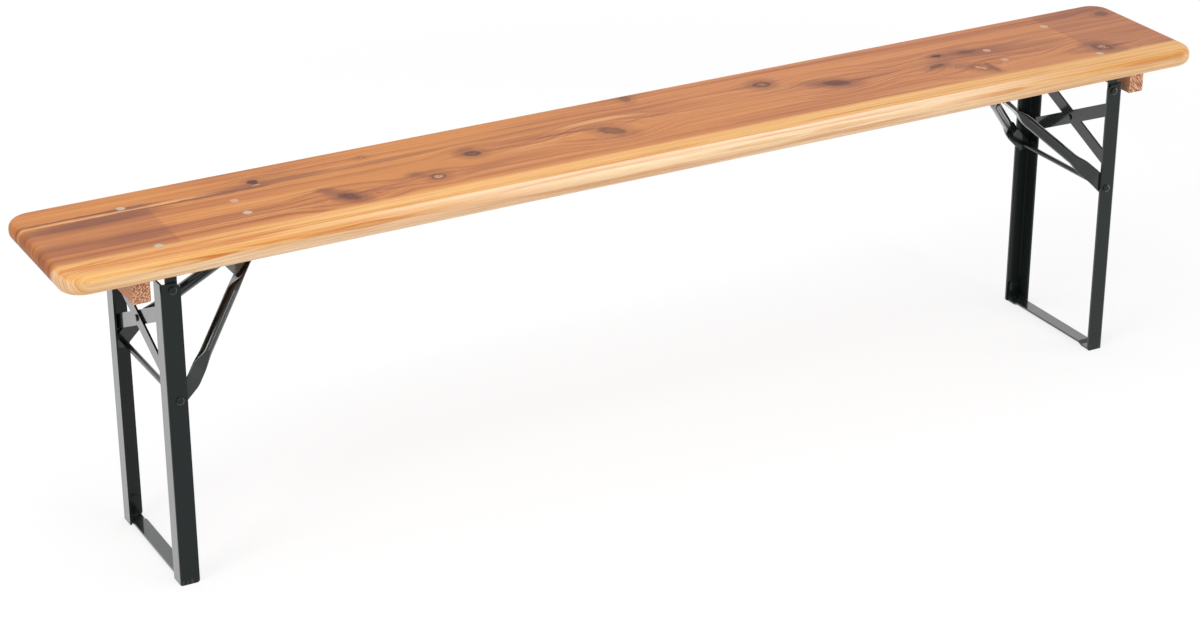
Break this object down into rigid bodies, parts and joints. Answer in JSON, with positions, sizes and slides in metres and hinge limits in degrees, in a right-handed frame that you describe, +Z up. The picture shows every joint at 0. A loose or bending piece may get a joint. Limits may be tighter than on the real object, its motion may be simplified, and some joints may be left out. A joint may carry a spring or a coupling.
{
  "type": "folding bench",
  "caption": "Long lacquered softwood bench seat on steel leg frames that fold in flat under the board, each held open by a strut and a catch.",
  "frame": {"origin": "on the floor, below the middle of the board", "axes": "+X along the board to its right end, +Y across the board to the far side, +Z up"},
  "size_m": [1.8, 0.25, 0.48],
  "materials": {
    "board_wood": "gloss lacquer",
    "batten_wood": "sawn, unfinished",
    "dark_green_paint": "gloss",
    "zinc_steel": "zinc plated",
    "spring_steel": "blued spring steel"
  },
  "bodies": {
    "seat": {"seat_board": "board_wood", "left_batten": "batten_wood", "left_batten_screws": "zinc_steel", "left_hinge_bracket": "dark_green_paint", "left_hinge_bolts": "zinc_steel", "left_hinge_nuts": "zinc_steel", "left_catch_bracket": "dark_green_paint", "left_catch_spring": "spring_steel", "left_catch_bolts": "zinc_steel", "left_catch_nuts": "zinc_steel", "right_batten": "batten_wood", "right_batten_screws": "zinc_steel", "right_hinge_bracket": "dark_green_paint", "right_hinge_bolts": "zinc_steel", "right_hinge_nuts": "zinc_steel", "right_catch_bracket": "dark_green_paint", "right_catch_spring": "spring_steel", "right_catch_bolts": "zinc_steel", "right_catch_nuts": "zinc_steel"},
    "left_leg_frame": {"left_near_leg": "dark_green_paint", "left_far_leg": "dark_green_paint", "left_foot_bar": "dark_green_paint", "left_outer_brace": "dark_green_paint", "left_inner_brace": "dark_green_paint", "left_brace_rivet": "dark_green_paint", "left_hinge_rivets": "dark_green_paint", "left_cross_rod": "dark_green_paint"},
    "left_struts": {"left_near_strut": "dark_green_paint", "left_far_strut": "dark_green_paint", "left_yoke": "dark_green_paint", "left_yoke_rivets": "dark_green_paint", "left_catch_pin": "dark_green_paint"},
    "right_leg_frame": {"right_near_leg": "dark_green_paint", "right_far_leg": "dark_green_paint", "right_foot_bar": "dark_green_paint", "right_outer_brace": "dark_green_paint", "right_inner_brace": "dark_green_paint", "right_brace_rivet": "dark_green_paint", "right_hinge_rivets": "dark_green_paint", "right_cross_rod": "dark_green_paint"},
    "right_struts": {"right_near_strut": "dark_green_paint", "right_far_strut": "dark_green_paint", "right_yoke": "dark_green_paint", "right_yoke_rivets": "dark_green_paint", "right_catch_pin": "dark_green_paint"}
  },
  "joints": [
    {"name": "left_leg_fold", "type": "hinge", "parent": "seat", "child": "left_leg_frame", "pos_m": [-0.754, 0, 0.432], "axis": [0, -1, 0], "range_deg": [0, 90]},
    {"name": "left_strut_fold", "type": "hinge", "parent": "left_leg_frame", "child": "left_struts", "pos_m": [-0.754, 0, 0.274], "axis": [0, 1, 0], "range_deg": [0, 135]},
    {"name": "right_leg_fold", "type": "hinge", "parent": "seat", "child": "right_leg_frame", "pos_m": [0.754, 0, 0.432], "axis": [0, 1, 0], "range_deg": [0, 90]},
    {"name": "right_strut_fold", "type": "hinge", "parent": "right_leg_frame", "child": "right_struts", "pos_m": [0.754, 0, 0.274], "axis": [0, -1, 0], "range_deg": [0, 135]}
  ],
  "couplings": [
    {"joint": "left_strut_fold", "follows": "left_leg_fold", "ratio": 1.5},
    {"joint": "right_strut_fold", "follows": "right_leg_fold", "ratio": 1.5}
  ]
}
